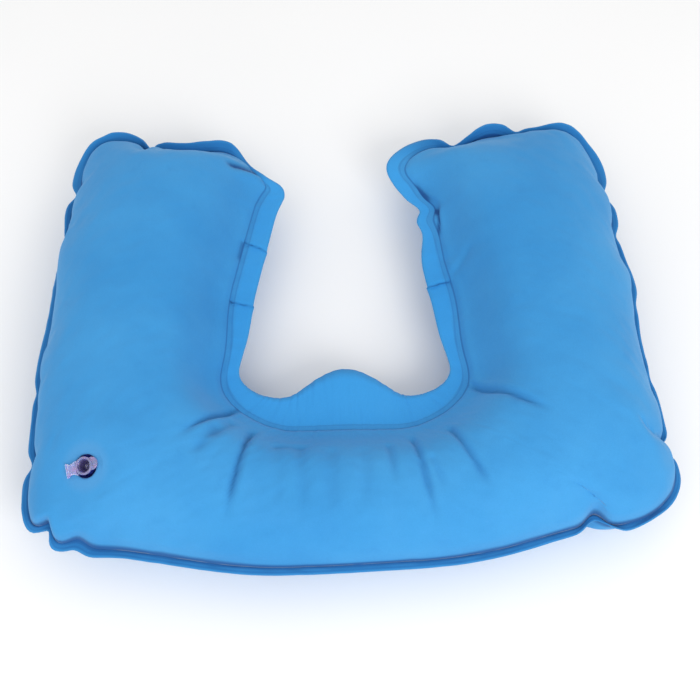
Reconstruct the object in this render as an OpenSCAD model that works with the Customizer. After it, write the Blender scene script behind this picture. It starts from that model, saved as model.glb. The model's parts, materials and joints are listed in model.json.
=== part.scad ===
// Inflatable U-shaped face cushion: two flocked PVC films welded along one closed seam, with a
// push-in air valve in the upper film. +Z is up, the arms point to +Y, and the origin is on the
// surface that the cushion rests on, under the centre of its outline.

/* [Cushion] */
// Width over the weld margins
overall_w = 388; // [380:1:400]
// Depth from the front margin to the ends of the arms
overall_d = 322; // [315:1:335]
// Thickness when inflated
overall_h = 76; // [70:1:80]
// Film with its flocking
film_t = 0.4; // [0.3:0.05:0.6]
// How far the front edge bows out at its middle
front_bow = 21; // [12:1:26]
// How much narrower the cushion is at the ends of the arms, on each side
arm_taper = 12; // [0:1:16]

/* [Face opening] */
// Width between the inner seams at the widest
opening_w = 148; // [140:1:156]
// Width between the inner seams at the mouth
mouth_w = 94; // [86:1:110]
// Distance from the front margin to the bottom of the inner seam
bar_d = 90; // [84:1:96]

/* [Weld margins] */
// Trimmed margin outside the outer seam
outer_margin = 7.5; // [5:0.5:9]
// Margin along the face opening
inner_margin = 15; // [12:0.5:17]
// Extra margin at the chin bump, in the middle of the opening
chin_bump = 24; // [10:1:28]

/* [Valve] */
// Valve centre, to the left of the middle
valve_x = -148; // [-151:0.5:-145]
// Valve centre, towards the front edge
valve_y = -105; // [-108:0.5:-102]
// Height of the film at the valve
valve_z = 66; // [63:0.5:68]
// Tilt of the valve axis towards the left edge
tilt_left = 20; // [16:1:26]
// Tilt of the valve axis towards the front edge
tilt_front = 18; // [14:1:22]
// Welded valve disc diameter
base_dia = 31; // [29:0.5:31]
// Hole in the film, which the valve sinks through
recess_dia = 14; // [13:0.5:15]
// Valve tube, outside
stem_dia = 9.2; // [8.8:0.1:9.6]
// Valve tube, inside
bore_dia = 7; // [6.8:0.1:7.2]
// Length of the valve tube
stem_len = 12; // [11:0.5:13]
// Stopper head diameter
head_dia = 10.4; // [10:0.1:11]
// Depth of the stopper's shank below the mouth of the tube
shank_len = 4.2; // [3.5:0.1:4.4]
// Distance from the valve axis to the fold of the strap
strap_reach = 10.8; // [10.6:0.1:13]

/* [Hidden] */
film_blue = [0.20, 0.55, 0.87];
clear_pvc = [0.80, 0.80, 0.90];

seam_z = overall_h / 2 - 2;          // height of the weld seam above the surface
dome_h = overall_h - seam_z;         // rise of the upper film above the seam
dome_a = 56;                         // half width over which the film reaches its full height
arc_steps = 12;                      // points on each rounded corner of the outline
arm_cells = 24;                      // film cells along an arm
bar_cells = 20;                      // film cells across the front, between the corners
cells_u = 2 * arm_cells + bar_cells;
cells_v = 12;                        // film cells from the outer seam to the inner seam
end_cells = 9;                       // film cells that bend with the rounded end of an arm
rest_sag = 1.5;                      // how far the lower film flattens where it rests
$fn = 64;

// ---- Outline of the weld seam -----------------------------------------------------------

half_w = overall_w / 2 - outer_margin;
front_y = -overall_d / 2 + outer_margin;
end_y = overall_d / 2 - outer_margin;
chin_y = -overall_d / 2 + bar_d;

// Corners of the right half, from the middle of the front edge round to the middle of the
// opening: [x, y, corner radius]
half_outline = [
    [62, front_y, 300],
    [half_w, front_y + front_bow, 32],
    [half_w - arm_taper, end_y, 36],
    [mouth_w / 2, end_y, 28],
    [opening_w / 2, 20, 150],
    [opening_w / 2, chin_y, 46]
];
outline = concat(half_outline, [for (i = [len(half_outline) - 1:-1:0])
    [-half_outline[i][0], half_outline[i][1], half_outline[i][2]]]);

function unit(v) = v / norm(v);

// Points on the arc that rounds corner b between its neighbours a and c
function rounded(a, b, c) =
    let (p = [b[0], b[1]],
         u = unit([a[0], a[1]] - p),
         v = unit([c[0], c[1]] - p),
         half = acos(u * v) / 2,
         centre = p + unit(u + v) * b[2] / sin(half),
         first = p + u * b[2] / tan(half) - centre,
         last = p + v * b[2] / tan(half) - centre,
         sweep = acos(unit(first) * unit(last)),
         turn = cross(first, last) > 0 ? 1 : -1)
    [for (k = [0:arc_steps])
        let (t = turn * sweep * k / arc_steps)
        centre + [first[0] * cos(t) - first[1] * sin(t), first[0] * sin(t) + first[1] * cos(t)]];

corners = len(outline);
rounded_outline = [for (i = [0:corners - 1])
    each rounded(outline[(i + corners - 1) % corners], outline[i], outline[(i + 1) % corners])];
stretch = half_w / max([for (p = rounded_outline) p[0]]);
seam = [for (p = rounded_outline) [p[0] * stretch, p[1]]];
seam_n = len(seam);

// Length along the seam up to each of its points, and a point at a given length
along = [for (i = 0, s = 0; i <= seam_n;
    s = s + norm(seam[(i + 1) % seam_n] - seam[i % seam_n]), i = i + 1) s];
seam_len = along[seam_n];
table_x = [for (i = [0:seam_n]) [along[i], seam[i % seam_n][0]]];
table_y = [for (i = [0:seam_n]) [along[i], seam[i % seam_n][1]]];
function wrap(s) = s - floor(s / seam_len) * seam_len;
function seam_at(s) = [lookup(wrap(s), table_x), lookup(wrap(s), table_y)];
function outward(s) = let (d = unit(seam_at(s + 0.5) - seam_at(s - 0.5))) [d[1], -d[0]];
function middle_of(corner) = along[corner * (arc_steps + 1) + arc_steps / 2];

// The four corners of the film's grid sit in the middle of the arms' rounded corners
end_r = middle_of(2);
mouth_r = middle_of(3);
mouth_l = middle_of(8);
end_l = middle_of(9);
arm_end_len = mouth_r - end_r;

// Seam position of grid point i, j on each of the four sides. The grid's lines across the film
// run from the front corners to the bottom corners of the opening.
stations = [0, arm_cells, arm_cells + bar_cells, cells_u];
outer_stops = [end_l - seam_len, middle_of(10) - seam_len, middle_of(1), end_r];
inner_stops = [mouth_l, middle_of(6), middle_of(5), mouth_r];
function pairs(a, b) = [for (k = [0:len(a) - 1]) [a[k], b[k]]];
function outer_s(i) = lookup(i, pairs(stations, outer_stops));
function inner_s(i) = lookup(i, pairs(stations, inner_stops));
function left_s(j) = end_l - arm_end_len * j / cells_v;
function right_s(j) = end_r + arm_end_len * j / cells_v;

// The seam moved inwards by inset
function inset_at(s, inset) = seam_at(s) - outward(s) * inset;

// How far the rounded end of an arm stands off the straight line between its two corners
function end_bulge(s, s0, s1, v, inset) =
    inset_at(s, inset) - (1 - v) * inset_at(s0, inset) - v * inset_at(s1, inset);
function near_end(x) = pow(max(0, x), 2);

// Plan position of grid point i, j of a film whose edge is inset from the seam
function plan(i, j, inset) =
    let (v = j / cells_v)
    (1 - v) * inset_at(outer_s(i), inset) + v * inset_at(inner_s(i), inset)
    + near_end(1 - i / end_cells) * end_bulge(left_s(j), end_l, mouth_l, v, inset)
    + near_end(1 - (cells_u - i) / end_cells) * end_bulge(right_s(j), end_r, mouth_r, v, inset);

// ---- Films ------------------------------------------------------------------------------

function to_segment(p, a, b) =
    let (t = max(0, min(1, (p - a) * (b - a) / ((b - a) * (b - a)))))
    norm(p - a - t * (b - a));
function to_seam(p) = min([for (i = [0:seam_n - 1]) to_segment(p, seam[i], seam[(i + 1) % seam_n])]);

// Rise of a film that bulges as an arc, at distance d in from its edge
function bulge(d, a, h) =
    let (r = (a * a + h * h) / (2 * h),
         x = max(0, a - d))
    sqrt(r * r - x * x) - (r - h);

function smooth(x) = let (t = max(0, min(1, x))) t * t * (3 - 2 * t);

valve_n = unit([-tan(tilt_left), -tan(tilt_front), 1]);
valve_at = [valve_x, valve_y, valve_z];
flat_r = 15;                         // film held flat by the welded valve disc
blend_r = 34;                        // from here outwards the film bulges freely

// Height of the plane through the valve disc
function valve_plane(p) =
    valve_z - (valve_n[0] * (p[0] - valve_x) + valve_n[1] * (p[1] - valve_y)) / valve_n[2];

function upper_z(p, inset) =
    let (free = seam_z + (inset > 0 ? 0 : film_t)
                + bulge(to_seam(p) - inset, dome_a - inset, dome_h - film_t),
         held = valve_plane(p) - (inset > 0 ? film_t / valve_n[2] : 0),
         t = smooth((norm(p - [valve_x, valve_y]) - flat_r) / (blend_r - flat_r)))
    min(held + (free - held) * t, overall_h - (inset > 0 ? film_t : 0));

function lower_z(p, inset) =
    let (free = seam_z - (inset > 0 ? 0 : film_t)
                - bulge(to_seam(p) - inset, dome_a - inset, seam_z + rest_sag - film_t))
    max(free, inset > 0 ? film_t : 0);

function grid(inset, up) = [for (i = [0:cells_u], j = [0:cells_v])
    let (p = plan(i, j, inset),
         edge = i == 0 || i == cells_u || j == 0 || j == cells_v)
    [p[0], p[1], edge ? seam_z + (inset > 0 ? 0 : (up ? film_t : -film_t))
                      : (up ? upper_z(p, inset) : lower_z(p, inset))]];

// Grid points round the edge, anticlockwise from above, with their places along the seam
edge_ij = concat([for (i = [0:cells_u]) [i, 0, outer_s(i)]],
                 [for (j = [1:cells_v]) [cells_u, j, right_s(j)]],
                 [for (i = [cells_u - 1:-1:0]) [i, cells_v, inner_s(i)]],
                 [for (j = [cells_v - 1:-1:1]) [0, j, left_s(j)]]);
edge_n = len(edge_ij);

// Width of the weld margin at place s along the seam. It widens round the corners of the mouth.
mouth_start = along[3 * (arc_steps + 1)];
mouth_end = along[9 * (arc_steps + 1) - 1];
widen_len = 60;                      // length of seam over which the margin widens
bump_w = 25;                         // half width of the chin bump
function in_opening(s) =
    smooth((wrap(s) - mouth_start) / widen_len) * smooth((mouth_end - wrap(s)) / widen_len);
function margin(s) =
    let (p = seam_at(s),
         bump = p[1] < 0 ? exp(-pow(p[0] / bump_w, 2)) : 0)
    outer_margin + in_opening(s) * (inner_margin - outer_margin + chin_bump * bump);

module film(up) {
    inset = film_t * 1.1;
    grid_n = (cells_u + 1) * (cells_v + 1);
    cut = [for (e = edge_ij) seam_at(e[2]) + outward(e[2]) * margin(e[2])];
    outer_face = seam_z + (up ? film_t : -film_t);
    points = concat(grid(0, up), grid(inset, up),
                    [for (p = cut) [p[0], p[1], outer_face]],
                    [for (p = cut) [p[0], p[1], seam_z]]);
    cell = function (i, j) i * (cells_v + 1) + j;
    quads = concat(
        // Outer skin
        [for (i = [0:cells_u - 1], j = [0:cells_v - 1])
            [cell(i, j), cell(i, j + 1), cell(i + 1, j + 1), cell(i + 1, j)]],
        // Inner skin
        [for (i = [0:cells_u - 1], j = [0:cells_v - 1])
            [grid_n + cell(i, j), grid_n + cell(i + 1, j),
             grid_n + cell(i + 1, j + 1), grid_n + cell(i, j + 1)]],
        // Weld margin: outer face, trimmed edge and welded face
        [for (k = [0:edge_n - 1])
            let (n = (k + 1) % edge_n,
                 a = cell(edge_ij[k][0], edge_ij[k][1]),
                 b = cell(edge_ij[n][0], edge_ij[n][1]),
                 top = 2 * grid_n,
                 low = 2 * grid_n + edge_n)
            each [[a, b, top + n, top + k],
                  [top + k, top + n, low + n, low + k],
                  [grid_n + a, low + k, low + n, grid_n + b]]]);
    // Each cell is split along its shorter diagonal
    triangles = [for (q = quads)
        let (k = norm(points[q[0]] - points[q[2]]) <= norm(points[q[1]] - points[q[3]]) ? 0 : 1,
             t = [for (m = [0:3]) q[(k + m) % 4]])
        each up
        ? [[t[0], t[1], t[2]], [t[0], t[2], t[3]]]
        : [[t[2], t[1], t[0]], [t[3], t[2], t[0]]]];
    polyhedron(points, triangles);
}

// ---- Valve ------------------------------------------------------------------------------
// Its own frame: +Z is the valve axis, pointing out of the film, +X is towards the pull tab
// and -X towards the strap's fold, and Z = 0 is the outer face of the film.

strap_turn = 10;                     // the strap points this far towards the front from the left
pad_over = 0.3;                      // welded ring of film round the recess, above its outer face
pad_under = 0.8;                     // and below it
pad_lap = 1.1;                       // the ring reaches this far past the welded disc
base_t = 0.9;
lip_z = 0.9;                         // mouth of the tube above the film
lip_r = (stem_dia - bore_dia) / 4;   // rounding of the mouth
foot_z = lip_z - stem_len;
web_depth = 5.2;
web_t = 0.6;
web_gap = 0.05;                      // between the web's foot and the tube
head_t = 1.5;
head_gap = 0.05;                     // between the stopper's head and the mouth of the tube
rim_r = 3.5;                         // inside of the head's raised rim
rim_round = 0.5;
hollow_r = 2.9;                      // hollow of the shank at its top
hollow_end_r = 1.9;
shank_end_r = 2.45;
shank_wall = 0.6;
plug_depth = 1.2;                    // the shank fills the bore down to here
plug_gap = 0.06;
plug_taper = 0.12;
tab_r = 3.8;
tab_t = 0.9;
tab_bite = 1;                        // how far the tab runs into the head
strap_w = 8.2;
strap_waist = 5.2;
strap_t = 0.8;
root_t = 0.45;
root_z = 0.4;
root_lap = 0.6;                      // the strap's lower leg runs this far over the tube's rim
fold_r = 0.95;
fold_z = lip_z + 0.55;
fold_gap = 0.06;
flap_t = 0.5;
flap_gap = 0.08;
flap_lap = 0.6;                      // the flap covers this much round the bore
flap_arm_w = 2.2;
flap_pin_r = 0.45;
flap_pin_gap = 0.05;
flap_pin_x = stem_dia / 2 + 0.4;     // from the valve axis
flap_mid_z = foot_z - flap_gap - flap_t / 2;
lug_w = 1;
lug_gap = 0.2;                       // between a lug and the flap's arm
lug_wall = 0.35;                     // round the pin
over = 1;                            // cutters reach this far past what they cut

module in_valve_frame() {
    translate(valve_at)
        rotate([acos(valve_n[2]), 0, atan2(valve_n[1], valve_n[0]) + 90])
            rotate([0, 0, -(atan2(valve_n[1], valve_n[0]) + 90) + strap_turn])
                children();
}

module tube(outer_r, inner_r, low, high) {
    translate([0, 0, low]) difference() {
        cylinder(r = outer_r, h = high - low);
        translate([0, 0, -over]) cylinder(r = inner_r, h = high - low + 2 * over);
    }
}

module upper_film() {
    cut_r = (base_dia + pad_lap) / 2;
    cut_h = 24;
    color(film_blue) union() {
        difference() {
            film(true);
            in_valve_frame() translate([0, 0, -cut_h / 2]) cylinder(r = cut_r, h = cut_h);
        }
        in_valve_frame() tube(base_dia / 2 + pad_lap, recess_dia / 2, -pad_under, pad_over);
    }
}

module lower_film() {
    color(film_blue) film(false);
}

// Disc welded under the film
module valve_base() {
    color(clear_pvc) in_valve_frame()
        tube(base_dia / 2, recess_dia / 2, -pad_under - base_t, -pad_under);
}

// Thin cone between the disc and the tube, which turns inside out as the valve is pulled up
module valve_web() {
    top = -pad_under - base_t;
    rim = recess_dia / 2;
    foot = stem_dia / 2 + web_gap;
    color(clear_pvc) in_valve_frame() rotate_extrude()
        polygon([[foot, top - web_depth], [foot, top - web_depth + web_t],
                 [rim, top], [rim + web_t, top]]);
}

// One of the two lugs beside the foot of the tube, which hold the pin of the flap
module lug() {
    boss_r = flap_pin_r + lug_wall;
    brace_l = boss_r + stem_dia / 2 - bore_dia / 2;
    difference() {
        translate([-flap_pin_x - boss_r, flap_arm_w / 2 + lug_gap, 0]) {
            translate([0, 0, flap_mid_z - boss_r])
                cube([2 * boss_r, lug_w, foot_z + lug_w - flap_mid_z + boss_r]);
            translate([0, 0, foot_z]) cube([brace_l, lug_w, lug_w]);
        }
        translate([-flap_pin_x, flap_arm_w + lug_w + over, flap_mid_z]) rotate([90, 0, 0])
            cylinder(r = flap_pin_r + flap_pin_gap, h = 2 * (flap_arm_w + lug_w + over));
    }
}

module valve_stem() {
    color(clear_pvc) in_valve_frame() {
        tube(stem_dia / 2, bore_dia / 2, foot_z, lip_z - lip_r);
        // Rounded lip at the mouth
        translate([0, 0, lip_z - lip_r]) rotate_extrude() intersection() {
            translate([(stem_dia + bore_dia) / 4, 0]) circle(r = lip_r);
            translate([bore_dia / 2, 0]) square([(stem_dia - bore_dia) / 2, lip_r]);
        }
        lug();
        mirror([0, 1, 0]) lug();
    }
}

// Lower leg of the strap, from the tube's rim out to the fold
module strap_root() {
    color(clear_pvc) in_valve_frame() difference() {
        translate([-strap_reach, -strap_waist / 2, root_z])
            cube([strap_reach - stem_dia / 2 + root_lap, strap_waist, root_t]);
        cylinder(r = stem_dia / 2, h = strap_t + over);
        translate([-strap_reach, strap_w, fold_z]) rotate([90, 0, 0])
            cylinder(r = fold_r + fold_gap, h = 2 * strap_w);
    }
}

// Stopper: a flat head with a raised rim, a thin hollow shank and a half-round pull tab
module stopper() {
    low = lip_z - shank_len;
    seat = lip_z + head_gap;
    head_r = head_dia / 2;
    plug_r = bore_dia / 2 - plug_gap;
    tab_x = head_r - rim_round;
    color(clear_pvc) in_valve_frame() {
        rotate_extrude() polygon([
            [head_r, seat], [head_r, seat + head_t - rim_round], [head_r - rim_round, seat + head_t],
            [rim_r, seat + head_t], [rim_r - rim_round, seat + head_t - rim_round],
            [hollow_r, seat], [hollow_end_r, low + shank_wall], [0, low + shank_wall],
            [0, low], [shank_end_r, low], [plug_r - plug_taper, seat - plug_depth], [plug_r, seat]]);
        difference() {
            translate([tab_x, 0, seat]) cylinder(r = tab_r, h = tab_t);
            translate([-tab_bite, 0, seat - over]) cylinder(r = head_r, h = tab_t + 2 * over);
        }
    }
}

// Upper leg of the strap, waisted where it bends, with the fold at its outer end
module strap() {
    root_x = head_dia / 2 - over;
    root_w = strap_w - strap_t;
    mid_x = (strap_reach + head_dia / 2) / 2;
    color(clear_pvc) in_valve_frame() {
        translate([-strap_reach, strap_w / 2, fold_z]) rotate([90, 0, 0])
            cylinder(r = fold_r, h = strap_w);
        translate([0, 0, fold_z + fold_r - strap_t]) linear_extrude(strap_t) difference() {
            polygon([[-strap_reach, strap_w / 2], [-strap_reach, -strap_w / 2],
                     [-mid_x, -strap_waist / 2], [-root_x, -root_w / 2],
                     [-root_x, root_w / 2], [-mid_x, strap_waist / 2]]);
            circle(r = head_dia / 2);
        }
    }
}

// One-way flap under the tube, with its hinge on the strap's side
module check_flap() {
    pin_len = flap_arm_w + 2 * (lug_gap + lug_w);
    color(clear_pvc) in_valve_frame() {
        translate([0, 0, flap_mid_z - flap_t / 2]) cylinder(r = bore_dia / 2 + flap_lap, h = flap_t);
        translate([-flap_pin_x, -flap_arm_w / 2, flap_mid_z - flap_t / 2])
            cube([flap_pin_x - bore_dia / 2, flap_arm_w, flap_t]);
        translate([-flap_pin_x, pin_len / 2, flap_mid_z]) rotate([90, 0, 0])
            cylinder(r = flap_pin_r, h = pin_len);
    }
}

upper_film();
lower_film();
valve_base();
valve_web();
valve_stem();
strap_root();
stopper();
strap();
check_flap();
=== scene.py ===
import json
import math

import bpy
import numpy as np
from mathutils import Matrix, Vector


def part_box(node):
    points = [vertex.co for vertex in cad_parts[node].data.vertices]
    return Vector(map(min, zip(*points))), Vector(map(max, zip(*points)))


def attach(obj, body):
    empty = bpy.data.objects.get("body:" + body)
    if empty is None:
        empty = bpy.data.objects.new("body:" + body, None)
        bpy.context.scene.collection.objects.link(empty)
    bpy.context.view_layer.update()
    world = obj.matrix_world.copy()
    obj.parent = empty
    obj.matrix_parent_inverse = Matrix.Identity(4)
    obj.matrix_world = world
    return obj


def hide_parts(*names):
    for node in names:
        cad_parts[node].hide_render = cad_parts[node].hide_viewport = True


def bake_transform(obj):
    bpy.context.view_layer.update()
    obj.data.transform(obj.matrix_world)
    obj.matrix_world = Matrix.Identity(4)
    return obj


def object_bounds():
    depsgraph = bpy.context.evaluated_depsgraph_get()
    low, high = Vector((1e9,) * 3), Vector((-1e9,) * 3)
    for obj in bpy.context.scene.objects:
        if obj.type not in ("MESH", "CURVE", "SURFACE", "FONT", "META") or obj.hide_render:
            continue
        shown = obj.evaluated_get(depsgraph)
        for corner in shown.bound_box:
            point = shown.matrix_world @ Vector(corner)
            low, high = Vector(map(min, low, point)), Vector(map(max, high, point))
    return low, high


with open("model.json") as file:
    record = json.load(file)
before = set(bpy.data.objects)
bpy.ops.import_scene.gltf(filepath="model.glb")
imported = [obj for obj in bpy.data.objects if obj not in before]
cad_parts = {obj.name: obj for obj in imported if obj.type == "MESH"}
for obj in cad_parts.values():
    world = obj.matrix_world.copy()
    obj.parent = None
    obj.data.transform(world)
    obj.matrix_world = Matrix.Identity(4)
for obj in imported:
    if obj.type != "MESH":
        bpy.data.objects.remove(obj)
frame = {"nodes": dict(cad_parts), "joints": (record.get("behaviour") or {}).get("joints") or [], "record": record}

# Inflatable U-shaped face cushion. Its two films start as smooth domes over the weld seam and are
# relaxed under air pressure as cloth, with the lengths of the flat sheets that they are cut from, so
# that the surplus gathers in folds. They are then pulled to the real outline in places, and get their
# weld band, creases and pleats. Lengths are in mm, and stored in metres.

MM = 0.001
CAD_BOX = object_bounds()

# ---- Sizes from the frame ----

LOW, HIGH = (np.array(corner) / MM for corner in CAD_BOX)
SEAM_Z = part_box("lower_film")[1].z / MM
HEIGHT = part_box("upper_film")[1].z / MM
# Width of the weld margin at the front and sides, and at the ends of the arms
OUTER_MARGIN, END_MARGIN = 4.8, 8
HALF_W = HIGH[0] - OUTER_MARGIN
FRONT_Y, END_Y = LOW[1] + OUTER_MARGIN, HIGH[1] - END_MARGIN
FILM = 0.4

# ---- Weld seam ----

FRONT_BOW, ARM_TAPER = 21, 12
MOUTH_HALF, OPENING_HALF = 47, 74
CHIN_Y = FRONT_Y + 83
# Width of the margin inside the opening, how much wider it is at the chin bump, and half the bump
INNER_MARGIN, CHIN_BUMP, CHIN_HALF = 16, 26, 52
# The chin bump is shaped by where its own edge is, which is about this far out from the seam
CHIN_LEAN = 24
# Length of seam over which the outer margin turns into the inner one, at each mouth
WIDEN = 60
# From this far back the outer margin widens towards the ends of the arms, over this length
ENDS_FROM, ENDS_OVER = 100, 30
# Where the margin inside the opening is narrow: x, y, reach, by how much
NARROW = [(-74, -30, 28, 5.5), (74, -30, 28, 5.5), (63, 88, 24, 8), (-62, 132, 13, 4)]
ARC_STEPS = 24

# Corners of the right half of the seam, from the middle of the front: x, y, corner radius
HALF_SEAM = [
    (62, FRONT_Y, 300),
    (HALF_W + 0.8, FRONT_Y + FRONT_BOW, 32),
    (HALF_W + 0.8 - ARM_TAPER, END_Y, 36),
    (MOUTH_HALF, END_Y, 28),
    (OPENING_HALF, 20, 150),
    (OPENING_HALF, CHIN_Y, 46),
]
# How much further out the same corners are on the flat sheet. The inner seam stays as long as it was.
FLAT_FRONT, FLAT_SIDE, FLAT_END = 28, 32, 16
HALF_SHEET = [
    (62, FRONT_Y - FLAT_FRONT, 300),
    (HALF_W + FLAT_SIDE, FRONT_Y + FRONT_BOW - FLAT_FRONT, 60),
    (HALF_W + FLAT_SIDE - ARM_TAPER, END_Y + FLAT_END, 52),
    (MOUTH_HALF, END_Y + FLAT_END, 40),
    (OPENING_HALF, 20, 150),
    (OPENING_HALF, CHIN_Y, 46),
]
# Where the outer seam is drawn in between two lobes: x, y, depth, half width
NOTCHES = [
    (-181, 112, 5, 5),
    (-188, 67, 3, 5),
    (-188, -43, 2, 5),
    (-187, -91, 4.5, 5),
    (-174, -130, 7.5, 6),
    (-155, -142, 3, 6),
    (-132, 153, 8, 4),
    (-66, 146, 5, 6),
    (139, -138, 7.5, 6),
    (190, -93, 8, 5),
    (189, -40, 1.5, 6),
    (188, 15, 1.5, 6),
    (184, 70, 2.5, 6),
    (180, 106, 4, 5),
    (125, 153, 5, 5),
    (80, 152, 6, 5),
    (62, 94, 5, 7),
]

# Where folds hold the real outline out or in: x, y, then how far it moves in x, y, z, and the reach
PULLS = [
    (192, -60, 8, 0, 0, 55),
    (190, 28, 8, 0, 0, 30),
    (184, 84, 5.5, 0, 0, 24),
    (178, -128, 7, 6, 0, 42),
    (128, -150, 0, 2, 0, 26),
    (-192, -20, -5, 0, 0, 45),
    (-190, 52, -5.5, 0, 0, 32),
    (-186, 96, -4, 0, 0, 16),
    (-20, -152, 0, -2, 0, 60),
    (152, -140, 0, -3, 0, 18),
    (-184, -142, -4, -10, 0, 16),
    (-152, -150, -3, -4, 0, 14),
    (-172, 150, -2, 1, 9, 18),
    (-152, 160, 0, 2, 9, 14),
    (-104, 158, 0, -9, 5, 24),
    (-51, 147, -4, -22, 2, 24),
    (-42, 118, 3, -5, 0, 18),
    (48, 134, -9, -5, 4, 18),
    (60, 78, 3, 0, 0, 22),
    (-62, 132, 5, 0, 0, 13),
    (-68, 141, 6, 0, 0, 13),
    (51, 86, -6, 0, 0, 9),
    (82, 160, 0, -9, 0, 16),
    (108, 160, 0, 1, 8, 18),
    (160, 158, 2, 2, 9, 20),
    (-74, -52, -6, 2, 0, 26),
    (74, -52, 6, 2, 0, 26),
    (0, -52, 0, 2, 0, 50),
]

# ---- Valve, in its own frame: +Z out of the film, -X towards the strap's fold ----

JOINTS = {joint["name"]: joint for joint in frame["joints"]}
MOUNTS = {mount["name"]: mount for mount in frame["record"]["mounts"]}
LIP = 0.9
VALVE_UP = np.array(JOINTS["valve_lift"]["axis"])
VALVE_FOLD = -np.array(JOINTS["plug_flip"]["axis"])
VALVE_SIDE = np.cross(VALVE_FOLD, VALVE_UP)
VALVE_AXES = np.array([VALVE_SIDE, VALVE_FOLD, VALVE_UP])
VALVE_AT = np.array(MOUNTS["inflation_valve"]["pos_m"]) / MM - LIP * VALVE_UP
# The film is flat up to the first distance from the axis, and has its own form from the second
VALVE_FLAT, VALVE_BLEND = 18, 38
RECESS_R, DISC_R = 7.0, 15.5
STEM_R, BORE_R = 4.6, 3.5
HEAD_R, HEAD_H, HEAD_GAP, SHANK_LEN = 5.2, 1.6, 0.05, 4.2
TAB_REACH, TAB_HALF, TAB_T = 8.6, 3.8, 0.95
PAD_UNDER, BASE_T = 0.8, 0.9
WEB_DEPTH, WEB_T, WEB_STEPS = 5.2, 0.35, 15
STRAP_W, STRAP_WAIST, STRAP_T, FOLD_R = 8.6, 5.9, 0.62, 0.62
# Ridges across the strap's fold: height, pitch, and how far from the fold they end
RIDGE_H, RIDGE_PITCH, RIDGE_END, RIDGE_FADE = 0.2, 1.3, 1.8, 1.2
FLAP_R, FLAP_T, FLAP_ARM_W, FLAP_SEAT = 4.1, 0.5, 2.2, 0.25
PIN_R, PIN_LEN, PIN_BEVEL, PIN_STEPS = 0.42, 4.6, 0.1, 32


def to_row(p):
    """Points of the valve's frame in the row's frame, both in mm."""
    return VALVE_AT + np.asarray(p, float) @ VALVE_AXES


def to_valve(p):
    """Points of the row's frame in the valve's frame, both in mm."""
    return (np.asarray(p, float) - VALVE_AT) @ VALVE_AXES.T


STRAP_REACH, FOLD_Z = to_valve(np.array(JOINTS["plug_flip"]["pos_m"]) / MM)[[0, 2]] * (-1, 1)


def unit(v):
    return v / np.linalg.norm(v)


def smooth(x):
    """Smooth step from 0 to 1."""
    t = np.clip(x, 0, 1)
    return t * t * (3 - 2 * t)


# ---- Mesh helpers ----


def new_object(name, points, faces, attributes=None):
    """A smooth-shaded mesh object from points in mm."""
    mesh = bpy.data.meshes.new(name)
    mesh.from_pydata((np.asarray(points) * MM).tolist(), [], [list(map(int, f)) for f in faces])
    mesh.update()
    mesh.polygons.foreach_set("use_smooth", np.ones(len(mesh.polygons), bool))
    for key, values in (attributes or {}).items():
        add_attribute(mesh, key, values)
    obj = bpy.data.objects.new(name, mesh)
    bpy.context.scene.collection.objects.link(obj)
    return obj


def add_attribute(mesh, key, values):
    data = mesh.attributes.new(key, "FLOAT", "POINT").data
    data.foreach_set("value", np.asarray(values, np.float32))


def attribute_of(mesh, key):
    out = np.zeros(len(mesh.vertices), np.float32)
    mesh.attributes[key].data.foreach_get("value", out)
    return out


def points_of(mesh, key="co"):
    out = np.zeros(len(mesh.vertices) * 3, np.float32)
    mesh.vertices.foreach_get(key, out)
    return out.reshape(-1, 3).astype(float)


def apply_modifiers(obj):
    """Replaces the object's mesh with the modified one."""
    shaped = obj.evaluated_get(bpy.context.evaluated_depsgraph_get())
    mesh = bpy.data.meshes.new_from_object(shaped)
    obj.modifiers.clear()
    old, obj.data = obj.data, mesh
    mesh.name = obj.name
    bpy.data.meshes.remove(old)
    mesh.polygons.foreach_set("use_smooth", np.ones(len(mesh.polygons), bool))


def subdivide(obj):
    modifier = obj.modifiers.new("subdivide", "SUBSURF")
    modifier.levels = modifier.render_levels = 1
    apply_modifiers(obj)


# ---- The cushion's plan ----


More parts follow.
